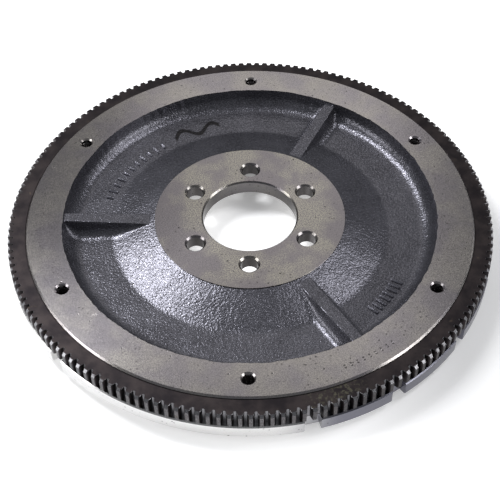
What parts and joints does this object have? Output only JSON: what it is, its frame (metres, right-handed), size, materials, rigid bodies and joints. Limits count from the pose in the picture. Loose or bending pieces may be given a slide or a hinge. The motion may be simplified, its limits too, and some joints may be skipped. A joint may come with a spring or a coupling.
{
  "type": "flywheel",
  "caption": "Cast flywheel disc with a ribbed recess, bolted hub, centre bore, toothed starter ring on the rim, sensor notches and a flat clutch face on locating pins.",
  "frame": {"origin": "on the spin axis, in the plane of the dowel pin tips that the part stands on", "axes": "+Z along the spin axis, away from the clutch and towards the crankshaft; X passes midway between two clutch cover holes, through dowel pin 1; Y passes through a cover hole and a crankshaft bolt hole"},
  "size_m": [0.3524, 0.3524, 0.0295],
  "materials": {
    "casting": "grey iron, sand-cast in the recess and machined satin on the land, hub, rim flange and clutch face",
    "ring_gear": "hardened steel with dark heat oxide, worn brighter on the tooth edges",
    "dowel": "ground steel pin"
  },
  "bodies": {
    "root": {"flywheel_casting": "casting", "ring_gear": "ring_gear", "dowel_pin_1": "dowel", "dowel_pin_2": "dowel", "dowel_pin_3": "dowel"}
  },
  "joints": []
}
